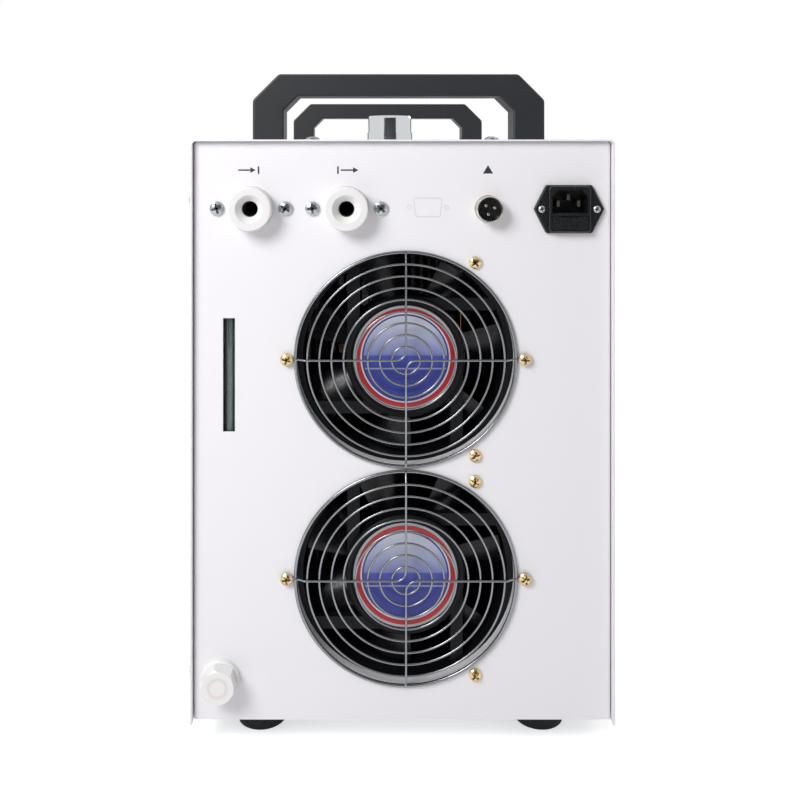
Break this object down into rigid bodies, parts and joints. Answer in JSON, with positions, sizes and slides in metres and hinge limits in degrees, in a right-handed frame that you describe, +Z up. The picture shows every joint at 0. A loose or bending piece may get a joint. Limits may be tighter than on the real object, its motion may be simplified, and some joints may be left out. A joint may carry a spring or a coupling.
{
  "type": "recirculating chiller",
  "caption": "Benchtop recirculating water chiller: white folded-sheet casing, black handles, stacked fans behind wire guards, water ports, mains inlet, level sight and drain.",
  "frame": {"origin": "middle of the footprint of the whole unit, at floor level", "axes": "+Z up, -Y out of the rear service panel, +X to the right of someone who faces that panel"},
  "size_m": [0.2952, 0.562, 0.4705],
  "materials": {
    "white_paint": "satin",
    "zinc_sheet": "satin",
    "black_rubber": "matte",
    "steel_screw": "satin",
    "nickel_screw": "polished",
    "yellow_zinc": "polished",
    "black_plastic": "matte",
    "chrome": "polished",
    "stainless": "brushed",
    "black_paint": "gloss",
    "copper": "satin",
    "blue_paint": "satin",
    "white_plastic": "satin",
    "clear_tube": "clear",
    "nickel": "satin",
    "black_gloss": "gloss",
    "glass_fuse": "clear",
    "black_cast": "satin",
    "black_rotor": "satin",
    "guard_wire": "polished",
    "label_print": "satin",
    "grey_plastic": "satin",
    "display_glass": "gloss",
    "button_plastic": "matte",
    "rocker_plastic": "gloss",
    "aluminium_can": "satin"
  },
  "bodies": {
    "chassis": {"cover": "white_paint", "rear_panel": "white_paint", "front_panel": "white_paint", "base_pan": "zinc_sheet", "tank_shelf": "zinc_sheet", "fan_shroud": "black_paint", "rubber_feet": "black_rubber", "compressor_grommets": "black_rubber", "water_hoses": "black_rubber", "foot_screws": "steel_screw", "handle_screws": "steel_screw", "cover_screws": "nickel_screw", "fitting_screws": "nickel_screw", "compressor_bolts": "steel_screw", "fan_screws": "yellow_zinc", "inlet_screws": "nickel_screw", "rear_handle": "black_plastic", "front_handle": "black_plastic", "filler_neck": "chrome", "water_tank": "stainless", "tank_lid": "stainless", "evaporator_coil": "stainless", "compressor": "black_paint", "condenser_core": "black_paint", "condenser_bends": "copper", "refrigerant_lines": "copper", "pump_motor": "blue_paint", "pump_head": "black_plastic", "inlet_fitting": "white_plastic", "outlet_fitting": "white_plastic", "sight_elbows": "white_plastic", "sight_tube": "clear_tube", "alarm_plug_shell": "nickel", "alarm_plug_insert": "black_plastic", "alarm_plug_pins": "nickel", "lock_nuts": "nickel", "power_inlet": "black_gloss", "power_blades": "nickel", "drain_valve": "white_plastic", "lower_fan_frame": "black_cast", "upper_fan_frame": "black_cast", "lower_fan_guard": "guard_wire", "upper_fan_guard": "guard_wire", "fan_labels": "label_print", "controller": "grey_plastic", "display_window": "display_glass", "power_switch": "black_gloss", "run_capacitor": "aluminium_can", "wiring_loom": "black_plastic"},
    "upper_fan_wheel": {"upper_fan_rotor": "black_rotor"},
    "lower_fan_wheel": {"lower_fan_rotor": "black_rotor"},
    "filler_lid": {"filler_cap": "chrome", "cap_gasket": "black_rubber"},
    "drain_plug": {"drain_cap": "white_plastic"},
    "fuse_tray": {"fuse_drawer": "black_gloss", "fuses": "glass_fuse"},
    "rocker": {"power_rocker": "rocker_plastic"},
    "up_key": {"up_button": "button_plastic"},
    "down_key": {"down_button": "button_plastic"},
    "set_key": {"set_button": "button_plastic"}
  },
  "joints": [
    {"name": "upper_fan_spin", "type": "hinge", "parent": "chassis", "child": "upper_fan_wheel", "pos_m": [0.0023, -0.2803, 0.268], "axis": [0, -1, 0], "continuous": true},
    {"name": "lower_fan_spin", "type": "hinge", "parent": "chassis", "child": "lower_fan_wheel", "pos_m": [0.0023, -0.2803, 0.1179], "axis": [0, -1, 0], "continuous": true},
    {"name": "filler_cap_lift", "type": "slide", "parent": "chassis", "child": "filler_lid", "axis": [0, 0, 1], "range_m": [0, 0.06]},
    {"name": "drain_cap_pull", "type": "slide", "parent": "chassis", "child": "drain_plug", "axis": [0, -1, 0], "range_m": [0, 0.08]},
    {"name": "fuse_drawer_slide", "type": "slide", "parent": "chassis", "child": "fuse_tray", "axis": [0, -1, 0], "range_m": [0, 0.022]},
    {"name": "power_rocker_tilt", "type": "hinge", "parent": "chassis", "child": "rocker", "pos_m": [0.1, 0.272, 0.3505], "axis": [1, 0, 0], "range_deg": [0, 24]},
    {"name": "up_button_press", "type": "slide", "parent": "chassis", "child": "up_key", "axis": [0, -1, 0], "range_m": [0, 0.0008], "stiffness_N_per_m": 600},
    {"name": "down_button_press", "type": "slide", "parent": "chassis", "child": "down_key", "axis": [0, -1, 0], "range_m": [0, 0.0008], "stiffness_N_per_m": 600},
    {"name": "set_button_press", "type": "slide", "parent": "chassis", "child": "set_key", "axis": [0, -1, 0], "range_m": [0, 0.0008], "stiffness_N_per_m": 600}
  ]
}
